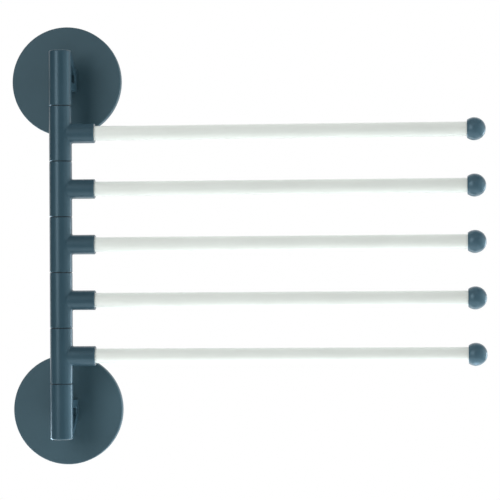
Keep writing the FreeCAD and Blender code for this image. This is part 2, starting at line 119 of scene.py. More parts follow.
class Shade:
    """A material while it is made: its tree, its shader and the place on the object in metres."""

    def __init__(self, name: str, roughness: float, values: NodeValues | None = None) -> None:
        """Start the material.

        Args:
            name: the material's name.
            roughness: the shader's roughness.
            values: what the shader's other named inputs hold.
        """
        self.material = bpy.data.materials.new(name)
        self.material.use_nodes = True
        self.tree = self.material.node_tree
        self.tree.nodes.clear()
        self.roughness = roughness
        self.shader = add_node(self.tree, "ShaderNodeBsdfPrincipled",
                               {"Roughness": roughness, **(values or {})})
        add_node(self.tree, "ShaderNodeOutputMaterial", links={"Surface": self.shader.outputs["BSDF"]})
        self.place = add_node(self.tree, "ShaderNodeTexCoord").outputs["Object"]

    def noise(self, size_mm: float, detail: float,
              squeeze: Sequence[float] = (1, 1, 1)) -> bpy.types.NodeSocket:
        """Add a noise pattern.

        Args:
            size_mm: the size of one patch.
            detail: the octaves.
            squeeze: how much closer the patches lie along each axis.

        Returns:
            The pattern, from 0 to 1.
        """
        place = add_node(self.tree, "ShaderNodeMapping", {"Scale": squeeze}, {"Vector": self.place})
        values = {"Scale": 1 / (size_mm * MM), "Detail": detail}
        return add_node(self.tree, "ShaderNodeTexNoise", values, {"Vector": place.outputs[0]}).outputs["Fac"]

    def colour(self, low: str, high: str, pattern: bpy.types.NodeSocket) -> None:
        """Let a pattern drift the colour from one hex value to another."""
        ramp = add_node(self.tree, "ShaderNodeValToRGB", links={"Fac": pattern})
        for stop, position, code in zip(ramp.color_ramp.elements, DRIFT_SPAN, (low, high)):
            stop.position = position
            stop.color = linear(code)
        self.tree.links.new(ramp.outputs["Color"], self.shader.inputs["Base Color"])

    def relief(self, pattern: bpy.types.NodeSocket, depth_mm: float, strength: float, spread: float) -> None:
        """Let a pattern raise the surface and vary its roughness.

        Args:
            pattern: the pattern, from 0 to 1.
            depth_mm: the height of the relief.
            strength: how much of it shows.
            spread: the roughness at 1 less that at 0.
        """
        low = self.roughness - spread / 2
        high = self.roughness + spread / 2
        gloss = add_node(self.tree, "ShaderNodeMapRange", {"To Min": low, "To Max": high}, {"Value": pattern})
        bump = add_node(self.tree, "ShaderNodeBump", {"Strength": strength, "Distance": depth_mm * MM},
                        {"Height": pattern})
        self.tree.links.new(gloss.outputs["Result"], self.shader.inputs["Roughness"])
        self.tree.links.new(bump.outputs["Normal"], self.shader.inputs["Normal"])


# In each finish the base colour drifts from colour to drift, two hex values.


@dataclass(frozen=True)
class MouldedPlastic:
    """Thermoplastic moulded in a spark-eroded tool: a satin skin with a fine even grain.

    The painted reflection tint colours what the skin mirrors: a painted cool-blue reflection of the room
    around it, not a property of the pigment.
    """

    name: str
    colour: str
    drift: str
    roughness: float
    ior: float = 1.53
    painted_reflection_tint: str = "#FFFFFF"
    flow_mm: float = 26.0
    grain_mm: float = 0.55
    grain_depth_mm: float = 0.012

    def build(self) -> bpy.types.Material:
        """Return the material."""
        # The reflection tint paints a cool-blue reflection into everything the skin mirrors.
        values = {"IOR": self.ior, "Specular Tint": linear(self.painted_reflection_tint)}
        shade = Shade(self.name, self.roughness, values)
        # The pigment drifts a little as the melt fills the tool, in patches of a few centimetres.
        shade.colour(self.colour, self.drift, shade.noise(self.flow_mm, detail=3.0))
        # The eroded grain is about 0.1 mm on the real skin. It is drawn coarser so that it shows.
        grain = shade.noise(self.grain_mm, detail=2.0)
        shade.relief(grain, self.grain_depth_mm, strength=0.6, spread=0.10)
        return shade.material


@dataclass(frozen=True)
class PowderEnamel:
    """Steel tube sprayed with polyester powder and baked: a smooth skin with a faint orange peel."""

    name: str
    colour: str
    drift: str
    roughness: float = 0.38
    ior: float = 1.49
    cloud_mm: float = 40.0
    peel_mm: float = 2.2
    peel_depth_mm: float = 0.010

    def build(self) -> bpy.types.Material:
        """Return the material."""
        shade = Shade(self.name, self.roughness, {"IOR": self.ior})
        shade.colour(self.colour, self.drift, shade.noise(self.cloud_mm, detail=2.0))
        # The baked powder flows into low waves about 2 mm across.
        peel = shade.noise(self.peel_mm, detail=1.0)
        shade.relief(peel, self.peel_depth_mm, strength=0.35, spread=0.08)
        return shade.material


@dataclass(frozen=True)
class MachinedMetal:
    """Ground, rolled or turned metal: bright, with fine marks that run the way of the tool."""

    name: str
    colour: str
    drift: str
    roughness: float
    mark_mm: float
    squeeze: tuple[float, float, float] = (1.0, 1.0, 1.0)
    stain_mm: float = 9.0
    mark_depth_mm: float = 0.008

    def build(self) -> bpy.types.Material:
        """Return the material."""
        shade = Shade(self.name, self.roughness, {"Metallic": 1.0})
        shade.colour(self.colour, self.drift, shade.noise(self.stain_mm, detail=4.0))
        # The marks are finer than this on the real piece. They are drawn coarser so that they show.
        marks = shade.noise(self.mark_mm, detail=2.0, squeeze=self.squeeze)
        shade.relief(marks, self.mark_depth_mm, strength=0.4, spread=0.16)
        return shade.material


@dataclass(frozen=True)
class FoamTape:
    """Closed-cell acrylic foam: pale, soft and dull, pitted where its cells are cut."""

    name: str
    colour: str
    drift: str
    roughness: float = 0.82
    stain_mm: float = 7.0
    cell_mm: float = 0.8
    cell_depth_mm: float = 0.06

    def build(self) -> bpy.types.Material:
        """Return the material."""
        shade = Shade(self.name, self.roughness)
        shade.colour(self.colour, self.drift, shade.noise(self.stain_mm, detail=3.0))
        # The cells are about 0.2 mm wide. They are drawn coarser so that they show.
        cells = add_node(shade.tree, "ShaderNodeTexVoronoi", {"Scale": 1 / (self.cell_mm * MM)},
                         {"Vector": shade.place})
        shade.relief(cells.outputs["Distance"], self.cell_depth_mm, strength=0.8, spread=0.16)
        return shade.material


FINISHES = {
    PLASTIC: MouldedPlastic("blue_grey_abs", "#344C58", "#38505C", 0.30, 1.45, "#CEEEFF"),
    "white_rod_enamel": PowderEnamel("white_powder_enamel", "#E8ECE7", "#ECF0EB"),
    "shaft_steel": MachinedMetal("ground_steel", "#B9BABB", "#A9ABAD", 0.30, 0.25, (1.0, 1.0, 6.0)),
    "fastener_zinc": MachinedMetal("zinc_plated_steel", "#B4B8BC", "#A5A8A6", 0.34, 0.5),
    "insert_brass": MachinedMetal("turned_brass", "#C9A55C", "#B8924A", 0.32, 0.3, (1.0, 6.0, 1.0)),
    "washer_nylon": MouldedPlastic("black_nylon", "#0F1213", "#14181A", 0.60),
    "anchor_plate_plastic": MouldedPlastic("grey_anchor_abs", "#8E9293", "#989B9B", 0.50),
    "pad_foam": FoamTape("acrylic_foam", "#D9D8D2", "#CFCEC7"),
}


class Version(Enum):
    """A piece whose plastic comes out of a tool of its own, drawn with a lighter base colour as painted
    light.
    """

    DISC = "disc"
    BALL = "ball"


VERSIONS = {
    # The wide discs have a deeper texture, which scatters more light. Their base colour is also drawn a
    # little lighter than the column's, painted light for the brighter haze on them.
    Version.DISC: MouldedPlastic("textured_blue_grey_abs_painted_lighter", "#35525E", "#395662", 0.58, 1.46, grain_mm=0.7,
                                 grain_depth_mm=0.02),
    # The balls are nearly smooth, so that a towel slides over them. Their base colour is drawn lighter than
    # the column's, painted light that brightens their fronts.
    Version.BALL: MouldedPlastic("smooth_blue_grey_abs_painted_lighter", "#445E6B", "#486270", 0.32, 1.46, "#CEEEFF",
                                 grain_mm=0.9, grain_depth_mm=0.006),
}


# Making meshes.


class Axis(Enum):
    """The axis of the frame that a turned piece lies along."""

    X = "x"
    Y = "y"
    Z = "z"

    def turn(self) -> Matrix:
        """Return the rotation that lays the lathe's axis, Z, along this one."""
        if self is Axis.X:
            return Matrix.Rotation(math.radians(90), 4, "Y")
        if self is Axis.Y:
            return Matrix.Rotation(math.radians(-90), 4, "X")
        return Matrix.Identity(4)


def moved(x: float, y: float, z: float) -> Matrix:
    """Return the shift by a distance in millimetres along each axis."""
    return Matrix.Translation(Vector((x, y, z)) * MM)


def clean(mesh: bpy.types.Mesh, crease: float = CREASE) -> None:
    """Weld a closed mesh, turn its faces outwards and mark its sharp edges.

    Args:
        mesh: the mesh.
        crease: the angle in degrees above which an edge is sharp.
    """
    work = bmesh.new()
    work.from_mesh(mesh)
    bmesh.ops.remove_doubles(work, verts=work.verts, dist=WELD)
    bmesh.ops.dissolve_degenerate(work, edges=work.edges, dist=WELD)
    bmesh.ops.recalc_face_normals(work, faces=work.faces)
    for face in work.faces:
        face.smooth = True
    for edge in work.edges:
        edge.smooth = edge.calc_face_angle(math.pi) < math.radians(crease)
    work.to_mesh(mesh)
    work.free()


def as_object(mesh: bpy.types.Mesh) -> bpy.types.Object:
    """Put a mesh in the scene as an object at the origin."""
    thing = bpy.data.objects.new(mesh.name, mesh)
    bpy.context.scene.collection.objects.link(thing)
    return thing


def evaluated(thing: bpy.types.Object, name: str) -> bpy.types.Mesh:
    """Return an object's mesh with its modifiers worked in, and take the object away."""
    graph = bpy.context.evaluated_depsgraph_get()
    mesh = bpy.data.meshes.new_from_object(thing.evaluated_get(graph), depsgraph=graph)
    mesh.name = name
    bpy.data.objects.remove(thing)
    return mesh


def worked(mesh: bpy.types.Mesh, tree: bpy.types.NodeTree, values: dict[str, Any],
           name: str) -> bpy.types.Mesh:
    """Run a mesh through a Geometry Nodes tree.

    Args:
        mesh: the mesh to start from.
        tree: the tree.
        values: what each named input of the tree holds.
        name: the result's name.

    Returns:
        The cleaned result.
    """
    thing = as_object(mesh)
    modifier = thing.modifiers.new("nodes", "NODES")
    modifier.node_group = tree
    inputs = {item.name: item.identifier for item in tree.interface.items_tree if item.in_out == "INPUT"}
    for label, value in values.items():
        modifier[inputs[label]] = value
    result = evaluated(thing, name)
    clean(result)
    return result


def new_tree(name: str, inputs: dict[str, str]) -> tuple[bpy.types.NodeTree, bpy.types.Node]:
    """Start a Geometry Nodes tree.

    Args:
        name: the tree's name.
        inputs: the name and kind of each input after the geometry.

    Returns:
        The tree and its input node.
    """
    tree = bpy.data.node_groups.new(name, "GeometryNodeTree")
    tree.interface.new_socket("Geometry", in_out="INPUT", socket_type="NodeSocketGeometry")
    tree.interface.new_socket("Geometry", in_out="OUTPUT", socket_type="NodeSocketGeometry")
    for label, kind in inputs.items():
        tree.interface.new_socket(label, in_out="INPUT", socket_type=f"NodeSocket{kind}")
    return tree, add_node(tree, "NodeGroupInput")


def end_tree(tree: bpy.types.NodeTree, mesh: bpy.types.NodeSocket, material: bpy.types.NodeSocket) -> None:
    """End a tree with real geometry that carries its material."""
    real = add_node(tree, "GeometryNodeRealizeInstances", links={"Geometry": mesh})
    dressed = add_node(tree, "GeometryNodeSetMaterial",
                       links={"Geometry": real.outputs[0], "Material": material})
    add_node(tree, "NodeGroupOutput", links={"Geometry": dressed.outputs[0]})


class Lathe:
    """Turns outlines into round pieces with one Geometry Nodes tree."""

    def __init__(self) -> None:
        """Build the tree: round the outline's corners, sweep it on a grid and weld the seam."""
        inputs = {"Segments": "Int", "Round steps": "Int", "Weld": "Float", "Material": "Material"}
        self.tree, given = new_tree("turned_piece", inputs)
        tree = self.tree
        size = given.outputs
        chain = add_node(tree, "GeometryNodeMeshToCurve", links={"Mesh": size["Geometry"]})
        radius = add_node(tree, "GeometryNodeInputNamedAttribute", {"Name": "round"}, data_type="FLOAT")
        outline = add_node(tree, "GeometryNodeFilletCurve", links={
            "Curve": chain.outputs[0],
            "Count": size["Round steps"],
            "Radius": radius.outputs["Attribute"],
        }, mode="POLY")
        counted = add_node(tree, "GeometryNodeAttributeDomainSize", links={"Geometry": outline.outputs[0]},
                           component="CURVE")
        points = counted.outputs["Point Count"]
        columns = add_node(tree, "FunctionNodeIntegerMath", {1: 1}, {0: size["Segments"]}, operation="ADD")
        grid = add_node(tree, "GeometryNodeMeshGrid",
                        links={"Vertices X": columns.outputs[0], "Vertices Y": points})
        index = add_node(tree, "GeometryNodeInputIndex").outputs[0]
        row = add_node(tree, "FunctionNodeIntegerMath", links={0: index, 1: points}, operation="MODULO")
        column = add_node(tree, "FunctionNodeIntegerMath", links={0: index, 1: points},
                          operation="DIVIDE_FLOOR")
        share = add_node(tree, "ShaderNodeMath", links={0: column.outputs[0], 1: size["Segments"]},
                         operation="DIVIDE")
        angle = add_node(tree, "ShaderNodeMath", {1: math.tau}, {0: share.outputs[0]}, operation="MULTIPLY")
        position = add_node(tree, "GeometryNodeInputPosition").outputs[0]
        corner = add_node(tree, "GeometryNodeSampleIndex", links={
            "Geometry": outline.outputs[0],
            "Value": position,
            "Index": row.outputs[0],
        }, data_type="FLOAT_VECTOR", domain="POINT")
        swung = add_node(tree, "ShaderNodeVectorRotate", rotation_type="Z_AXIS",
                         links={"Vector": corner.outputs["Value"], "Angle": angle.outputs[0]})
        swept = add_node(tree, "GeometryNodeSetPosition",
                         links={"Geometry": grid.outputs["Mesh"], "Position": swung.outputs[0]})
        welded = add_node(tree, "GeometryNodeMergeByDistance",
                          links={"Geometry": swept.outputs[0], "Distance": size["Weld"]})
        end_tree(tree, welded.outputs[0], size["Material"])

    def turn(self, name: str, corners: Iterable[Corner], material: bpy.types.Material,
             axis: Axis = Axis.Z, segments: int = 96, round_steps: int = 8) -> bpy.types.Mesh:
        """Turn an outline about an axis through the origin.

        Args:
            name: the mesh's name.
            corners: the outline, from its first point to its last, in millimetres.
            material: what the piece is made of.
            axis: the axis of the finished piece.
            segments: the flats round the axis.
            round_steps: the flats along each round.

        Returns:
            The closed mesh.
        """
        points = list(corners)
        outline = bpy.data.meshes.new(f"{name}_outline")
        edges = [(i, i + 1) for i in range(len(points) - 1)]
        outline.from_pydata([(r * MM, 0, h * MM) for r, h, _ in points], edges, [])
        rounds = outline.attributes.new("round", "FLOAT", "POINT")
        rounds.data.foreach_set("value", [corner[2] * MM for corner in points])
        values = {"Segments": segments, "Round steps": round_steps, "Weld": WELD, "Material": material}
        mesh = worked(outline, self.tree, values, name)
        mesh.transform(axis.turn())
        return mesh


def ring(corners: Sequence[Corner]) -> list[Corner]:
    """Close an outline that doesn't touch the axis, with its seam in the middle of its last side."""
    first, last = corners[0], corners[-1]
    middle = ((first[0] + last[0]) / 2, (first[1] + last[1]) / 2, 0.0)
    return [middle, *corners, middle]


def sharp(points: Iterable[tuple[float, float]]) -> list[Corner]:
    """Return an outline whose corners have no round."""
    return [(r, h, 0.0) for r, h in points]


def combine(base: bpy.types.Mesh, tools: Sequence[tuple[str, bpy.types.Mesh]], name: str) -> bpy.types.Mesh:
    """Join solids to a solid and cut others out of it.

    Args:
        base: the first solid.
        tools: each next one after UNION or DIFFERENCE.
        name: the result's name.

    Returns:
        The new mesh.
    """
    thing = as_object(base)
    helpers = []
    for operation, tool in tools:
        helpers.append(as_object(tool))
        modifier = thing.modifiers.new("combined", "BOOLEAN")
        modifier.operation = operation
        modifier.solver = "EXACT"
        modifier.object = helpers[-1]
    mesh = evaluated(thing, name)
    for helper in helpers:
        bpy.data.objects.remove(helper)
    return mesh


class Loft:
    """A mesh that is skinned from ring to ring."""

    def __init__(self) -> None:
        """Start with no points."""
        self.points: list[Vector] = []
        self.faces: list[tuple[int, ...]] = []

    def skin(self, rings: Sequence[Sequence[Vector]], closed: bool = True) -> None:
        """Join each ring of points to the next with quads.

        Args:
            rings: the rings, all with the same number of points, in millimetres.
            closed: whether the last point of a ring joins its first.
        """
        count = len(rings[0])
        start = len(self.points)
        for points in rings:
            self.points.extend(points)
        for row in range(len(rings) - 1):
            for here in range(count if closed else count - 1):
                there = (here + 1) % count
                low = start + row * count
                high = low + count
                self.faces.append((low + here, low + there, high + there, high + here))

    def mesh(self, name: str) -> bpy.types.Mesh:
        """Return the welded mesh in metres."""
        mesh = bpy.data.meshes.new(name)
        mesh.from_pydata([point * MM for point in self.points], [], self.faces)
        clean(mesh)
        return mesh


class Workshop:
    """Holds the finishes and the lathe, and fits each finished piece into the frame."""

    def __init__(self) -> None:
        """Make every finish once."""
        self.materials = {slot: finish.build() for slot, finish in FINISHES.items()}
        self.versions = {version: finish.build() for version, finish in VERSIONS.items()}
        self.lathe = Lathe()
        groups = frame["record"]["behaviour"]["bodies"]
        self.body_of = {node: body for body, nodes in groups.items() for node in nodes}

    def fit(self, mesh: bpy.types.Mesh, name: str, node: str, slot: str,
            version: Version | None = None) -> None:
        """Put a finished mesh in place of a CAD node.

        Args:
            mesh: the mesh, in the row frame.
            name: the piece's name.
            node: the node that it stands for.
            slot: the finish that it wears.
            version: whose version of that finish it is, if it has its own.
        """
        mesh.materials.clear()
        mesh.materials.append(self.versions[version] if version else self.materials[slot])
        piece = as_object(mesh)
        piece.name = name
        piece.modifiers.new("even_shading", "WEIGHTED_NORMAL").keep_sharp = True
        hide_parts(node)
        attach(piece, self.body_of[node])
        LOG.info("%s stands for %s, %d faces", name, node, len(mesh.polygons))

    def dress(self, node: str, slot: str) -> None:
        """Give its finish to a CAD node that is kept as it is."""
        data = frame["nodes"][node].data
        data.materials.clear()
        data.materials.append(self.materials[slot])
        LOG.info("%s keeps its own mesh", node)


def middle(node: str) -> Vector:
    """Return the middle of a CAD node's box in millimetres."""
    low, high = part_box(node)
    return (low + high) / 2 / MM


# The sub-assemblies.


@dataclass(frozen=True)
class Column:
    """The upright line of the joints: the steel shaft and the washer in each joint."""

    shop: Workshop
    washer_radius: float = 8.5
    washer_bore: float = 5.06
    washer_thickness: float = 0.5
    washer_edge: float = 0.08

    def washer(self, number: int) -> bpy.types.Mesh:
        """Return the mesh of one washer, counted from the top."""
        half = self.washer_thickness / 2
        nylon = self.shop.materials["washer_nylon"]
        outline = ring([
            (self.washer_bore, -half, 0.0),
            (self.washer_radius, -half, self.washer_edge),
            (self.washer_radius, half, self.washer_edge),
            (self.washer_bore, half, 0.0),
        ])
        mesh = self.shop.lathe.turn(f"washer_{number}", outline, nylon, round_steps=2)
        mesh.transform(moved(*middle(f"joint_washer_{number}")))
        return mesh

    def build(self) -> None:
        """Fit the washers and dress the shaft."""
        for number in JOINT_NUMBERS:
            self.shop.fit(self.washer(number), f"washer_{number}", f"joint_washer_{number}", "washer_nylon")
        self.shop.dress("column_shaft", "shaft_steel")


@dataclass(frozen=True)
class SwingArm:
    """One arm: the collar that turns on the shaft, the white tube and the ball on its end."""

    shop: Workshop
    number: int
    column_radius: float = 9.0
    collar_half: float = 21.75
    rim_chamfer: float = 0.3
    bore_radius: float = 5.06
    stub_radius: float = 7.75
    stub_reach: float = 27.3
    stub_blend: float = 1.0
    mouth_chamfer: float = 0.4
    socket_radius: float = 5.78
    socket_floor: float = 10.8
    rod_radius: float = 5.75
    rod_wall: float = 1.0
    rod_edge: float = 0.25
    rod_length: float = 310.0
    ball_radius: float = 9.0
    ball_flat: float = 5.6
    ball_edge: float = 0.25
    spigot_radius: float = 4.72
    spigot_length: float = 12.0
    spigot_chamfer: float = 0.8
    spokes: int = 192
    patch_steps: int = 14
    blend_steps: int = 8
    ball_steps: int = 40

    def place(self) -> Vector:
        """Return the point where the arm's line crosses the column's axis."""
        return Vector((0.0, middle("column_shaft").y, middle(f"arm_rod_{self.number}").z))

    def on_barrel(self, turn: float, height: float, radius: float | None = None) -> Vector:
        """Return a point of the collar's barrel, by its angle about the column."""
        out = self.column_radius if radius is None else radius
        return Vector((out * math.cos(turn), out * math.sin(turn), height))

    def collar(self) -> bpy.types.Mesh:
        """Return the collar: a barrel with a stub that grows out of it through a soft blend."""
        loft = Loft()
        loft.skin(self.barrel_rings())
        loft.skin(self.stub_rings())
        loft.skin(self.bore_rings(), closed=False)
        return loft.mesh(f"collar_{self.number}")

    def angles(self) -> list[float]:
        """Return the directions round the stub."""
        return [math.tau * k / self.spokes for k in range(self.spokes)]

    def barrel_rings(self) -> list[list[Vector]]:
        """Return the barrel's rings, from the oval round the stub to its two rims and its back."""
        foot = self.stub_radius + self.stub_blend
        high = self.collar_half - self.rim_chamfer
        rings = []
        for step in range(self.patch_steps + 1):
            share = step / self.patch_steps
            points = []
            for angle in self.angles():
                across, up = math.cos(angle), math.sin(angle)
                reach = max(abs(across), abs(up))
                near = math.asin(foot * across / self.column_radius)
                turn = near + share * (math.pi * across / reach - near)
                height = foot * up + share * (high * up / reach - foot * up)
                points.append(self.on_barrel(turn, height))
            rings.append(points)
        return rings

    def stub_rings(self) -> list[list[Vector]]:
        """Return the rings of the blend, the stub, its mouth and the socket."""
        angles = self.angles()
        rings = []
        for step in range(self.blend_steps + 1):
            bend = math.pi / 2 * (1 - step / self.blend_steps)
            out = self.stub_radius + self.stub_blend * (1 - math.cos(bend))
            lift = self.stub_blend * (1 - math.sin(bend))
            rings.append([
                Vector((math.sqrt(self.column_radius**2 - (out * math.cos(a))**2) + lift,
                        out * math.cos(a), out * math.sin(a)))
                for a in angles
            ])
        start = self.column_radius + self.stub_blend * 2
        mouth = self.stub_reach - self.mouth_chamfer
        for along, out in (
            (start, self.stub_radius),
            ((start + mouth) / 2, self.stub_radius),
            (mouth, self.stub_radius),
            (self.stub_reach, self.stub_radius - self.mouth_chamfer),
            (self.stub_reach, self.socket_radius),
            (self.socket_floor, self.socket_radius),
            (self.socket_floor, 0.0),
        ):
            rings.append([Vector((along, out * math.cos(a), out * math.sin(a))) for a in angles])
        return rings

    def bore_rings(self) -> list[list[Vector]]:
        """Return the rings of the end faces and the bore, from the upper rim to the lower one."""
        eighth = self.spokes // 8
        # The spokes that end on the upper rim are a quarter of them all.
        turns = [math.pi / math.tan(a) for a in self.angles()[eighth:3 * eighth + 1]]
        high = self.collar_half
        rim = high - self.rim_chamfer
        inner = self.column_radius - self.rim_chamfer
        return [[self.on_barrel(turn, height, out) for turn in turns] for out, height in (
            (self.column_radius, rim),
            (inner, high),
            (self.bore_radius, high),
            (self.bore_radius, -high),
            (inner, -high),
            (self.column_radius, -rim),
        )]

    def rod(self) -> bpy.types.Mesh:
        """Return the tube, with its cut ends broken."""
        inner = self.rod_radius - self.rod_wall
        outline = ring([
            (inner, 0.0, self.rod_edge),
            (self.rod_radius, 0.0, self.rod_edge),
            (self.rod_radius, self.rod_length, self.rod_edge),
            (inner, self.rod_length, self.rod_edge),
        ])
        material = self.shop.materials["white_rod_enamel"]
        return self.shop.lathe.turn(f"rod_{self.number}", outline, material, Axis.X, round_steps=3)

    def ball(self) -> bpy.types.Mesh:
        """Return the ball, cut flat where it meets the tube, with the spigot that goes inside."""
        flat = math.acos(-self.ball_flat / self.ball_radius)
        arc = [flat * k / self.ball_steps for k in range(self.ball_steps + 1)]
        round_part = [(self.ball_radius * math.sin(a), self.ball_radius * math.cos(a), 0.0) for a in arc]
        tail = -self.ball_flat - self.spigot_length
        edge = (*round_part[-1][:2], self.ball_edge)
        outline = [
            (0.0, tail, 0.0),
            (self.spigot_radius - self.spigot_chamfer, tail, 0.0),
            (self.spigot_radius, tail + self.spigot_chamfer, 0.0),
            (self.spigot_radius, -self.ball_flat, 0.0),
            edge,
            *reversed(round_part[:-1]),
        ]
        material = self.shop.materials[PLASTIC]
        return self.shop.lathe.turn(f"ball_{self.number}", outline, material, Axis.X, round_steps=4)

    def build(self) -> None:
        """Fit the collar, the rod and the ball."""
        place = self.place()
        collar, rod, ball = self.collar(), self.rod(), self.ball()
        collar.transform(moved(*place))
        rod.transform(moved(self.socket_floor, place.y, place.z))
        ball.transform(moved(self.socket_floor + self.rod_length + self.ball_flat, place.y, place.z))
        self.shop.fit(collar, f"collar_{self.number}", f"arm_collar_{self.number}", PLASTIC)
        self.shop.fit(rod, f"rod_{self.number}", f"arm_rod_{self.number}", "white_rod_enamel")
        self.shop.fit(ball, f"ball_{self.number}", f"arm_ball_{self.number}", PLASTIC,
                      Version.BALL)


class Side(Enum):
    """Which of the two wall mounts."""

    LOWER = "lower"
    UPPER = "upper"


@dataclass(frozen=True)
class WallMount:
    """One wall mount: pad, anchor plate, disc and the holder that ends the column."""

    shop: Workshop
    side: Side
    axis_standoff: float = 38.0
    column_radius: float = 9.0
    holder_half: float = 22.0
    joint_face: float = 21.75
    rim_chamfer: float = 0.3
    holder_round: float = 1.2
    plug_radius: float = 6.7
    plug_clearance: float = 0.03
    plug_thickness: float = 1.6
    plug_skirt: float = 3.4
    plug_wall: float = 1.2
    plug_round: float = 0.4
    screw_recess: float = 9.0
    screw_web: float = 3.0
    screw_hole: float = 2.7
    shaft_seat: float = 5.03
    bracket_width: float = 17.0
    bracket_base: float = 9.0
    foot_inner: float = 8.6
    foot_outer: float = 10.2
    strut_height: float = 6.0
    brace_height: float = 6.0
    brace_margin: float = 1.4
    brace_depth: float = 4.0
    window_round: float = 1.5
    window_steps: int = 6
    bracket_round: float = 0.7
    bracket_steps: int = 3
    holder_crease: float = 16.0
    insert_radius: float = 4.53
    insert_length: float = 7.0
    disc_radius: float = 44.0
    disc_depth: float = 8.4
    disc_wall: float = 2.4
    disc_rim: float = 2.2
    disc_round: float = 1.0
    disc_lip: float = 0.25
    disc_corner: float = 0.4
    disc_hole: float = 3.2
    wall_gap: float = 0.4
    rib_count: int = 8
    rib_thickness: float = 1.4
    rib_start: float = 13.4
    rib_back: float = 3.7
    rib_bite: float = 0.3
    pad_radius: float = 39.0
    pad_thickness: float = 1.2
    pad_edge: float = 0.3

    def frame_place(self) -> Matrix:
        """Return the place of this mount: the upper one is the lower one turned half round."""
        height = middle(f"{self.side.value}_wall_disc").z
        if self.side is Side.LOWER:
            return moved(0, 0, height)
        return moved(0, 0, height) @ Matrix.Rotation(math.pi, 4, "Y")

    def bracket(self) -> bpy.types.Mesh:
        """Return the bracket: foot, straight strut and sloping brace round an open window."""
        back = self.axis_standoff - self.disc_depth
        foot = back - self.bracket_base
        strut_under = self.foot_inner - self.strut_height
        brace_end = self.holder_half - self.brace_margin
        slope = (brace_end - self.foot_outer) / (foot - self.brace_depth)
        window_foot = self.brace_height - self.foot_outer
        side = [
            (0.0, -brace_end), (self.brace_depth, -brace_end), (foot, -self.foot_outer),
            (back, -self.foot_outer), (back, self.foot_inner), (0.0, self.foot_inner),
            (0.0, strut_under), *self.window_corner(foot, strut_under, 1, 0.0),
            *self.window_corner(foot, window_foot, -1, math.atan(slope)),
            (0.0, window_foot - foot * slope),
        ]
        work = bmesh.new()
        half = self.bracket_width / 2
        near = [work.verts.new(Vector((-half, y, z)) * MM) for y, z in side]
        face = work.faces.new(near)
        grown = bmesh.ops.extrude_face_region(work, geom=[face])["geom"]
        far = [item for item in grown if isinstance(item, bmesh.types.BMVert)]
        bmesh.ops.translate(work, verts=far, vec=Vector((self.bracket_width * MM, 0, 0)))
        long_edges = [
            edge for edge in work.edges
            if abs(edge.verts[0].co.x - edge.verts[1].co.x) < WELD
            and 0.0 < (edge.verts[0].co.y + edge.verts[1].co.y) / 2 < back * MM - WELD
        ]
        bmesh.ops.bevel(work, geom=long_edges, offset=self.bracket_round * MM, affect="EDGES",
                        segments=self.bracket_steps, profile=0.5, offset_type="OFFSET",
                        clamp_overlap=True)
        mesh = bpy.data.meshes.new("bracket")
        work.to_mesh(mesh)
        work.free()
        clean(mesh)
        return mesh

    def window_corner(self, depth: float, height: float, way: int, tilt: float) -> list[tuple[float, float]]:
        """Return the rounded corner of the window against the foot.

        Args:
            depth: where the foot's face lies.
            height: where the corner would be if it were sharp.
            way: 1 at the strut, -1 at the brace.
            tilt: the brace's slope at that corner.

        Returns:
            The points from the side towards the foot at the strut, and back at the brace.
        """
        radius = self.window_round
        lead = radius * math.tan((math.pi / 2 - tilt) / 2)
        centre = Vector((depth - radius, height - way * lead))
        points = []
        for step in range(self.window_steps + 1):
            angle = (math.pi / 2 - tilt) * step / self.window_steps
            points.append((centre.x + radius * math.cos(angle), centre.y + way * radius * math.sin(angle)))
        return points[::-1] if way > 0 else points

    def holder(self) -> bpy.types.Mesh:
        """Return the holder: end of the column, bracket, shaft seat and screw recess."""
        turn = self.shop.lathe.turn
        plastic = self.shop.materials[PLASTIC]
        seat = self.screw_recess - self.holder_half
        shaft_end = seat + self.screw_web
        barrel = turn("barrel", [
            (0.0, -self.holder_half, 0.0),
            (self.column_radius, -self.holder_half, self.holder_round),
            (self.column_radius, self.joint_face - self.rim_chamfer, 0.0),
            (self.column_radius - self.rim_chamfer, self.joint_face, 0.0),
            (0.0, self.joint_face, 0.0),
        ], plastic)
        hollow = turn("seat", sharp([
            (0.0, -self.holder_half - OVERCUT),
            (self.plug_radius, -self.holder_half - OVERCUT),
            (self.plug_radius, seat),
            (self.screw_hole, seat),
            (self.screw_hole, shaft_end),
            (self.shaft_seat, shaft_end),
            (self.shaft_seat, self.joint_face + OVERCUT),
            (0.0, self.joint_face + OVERCUT),
        ]), plastic)
        back = self.axis_standoff - self.disc_depth
        insert = turn("insert_hole", sharp([
            (0.0, back - self.insert_length),
            (self.insert_radius, back - self.insert_length),
            (self.insert_radius, back + OVERCUT),
            (0.0, back + OVERCUT),
        ]), plastic, Axis.Y)
        steps = [("UNION", self.bracket()), ("DIFFERENCE", hollow), ("DIFFERENCE", insert)]
        mesh = combine(barrel, steps, f"{self.side.value}_holder_mesh")
        clean(mesh, self.holder_crease)
        mesh.transform(self.frame_place() @ moved(0, -self.axis_standoff, 0))
        return mesh

    def end_plug(self) -> bpy.types.Mesh:
        """Return the cup that closes the holder's end."""
        radius = self.plug_radius - self.plug_clearance
        inner = radius - self.plug_wall
        face = -self.holder_half
        mesh = self.shop.lathe.turn("plug", [
            (0.0, face, 0.0),
            (radius, face, self.plug_round),
            (radius, face + self.plug_skirt, 0.0),
            (inner, face + self.plug_skirt, 0.0),
            (inner, face + self.plug_thickness, 0.0),
            (0.0, face + self.plug_thickness, 0.0),
        ], self.shop.materials[PLASTIC])
        mesh.transform(self.frame_place() @ moved(0, -self.axis_standoff, 0))
        return mesh

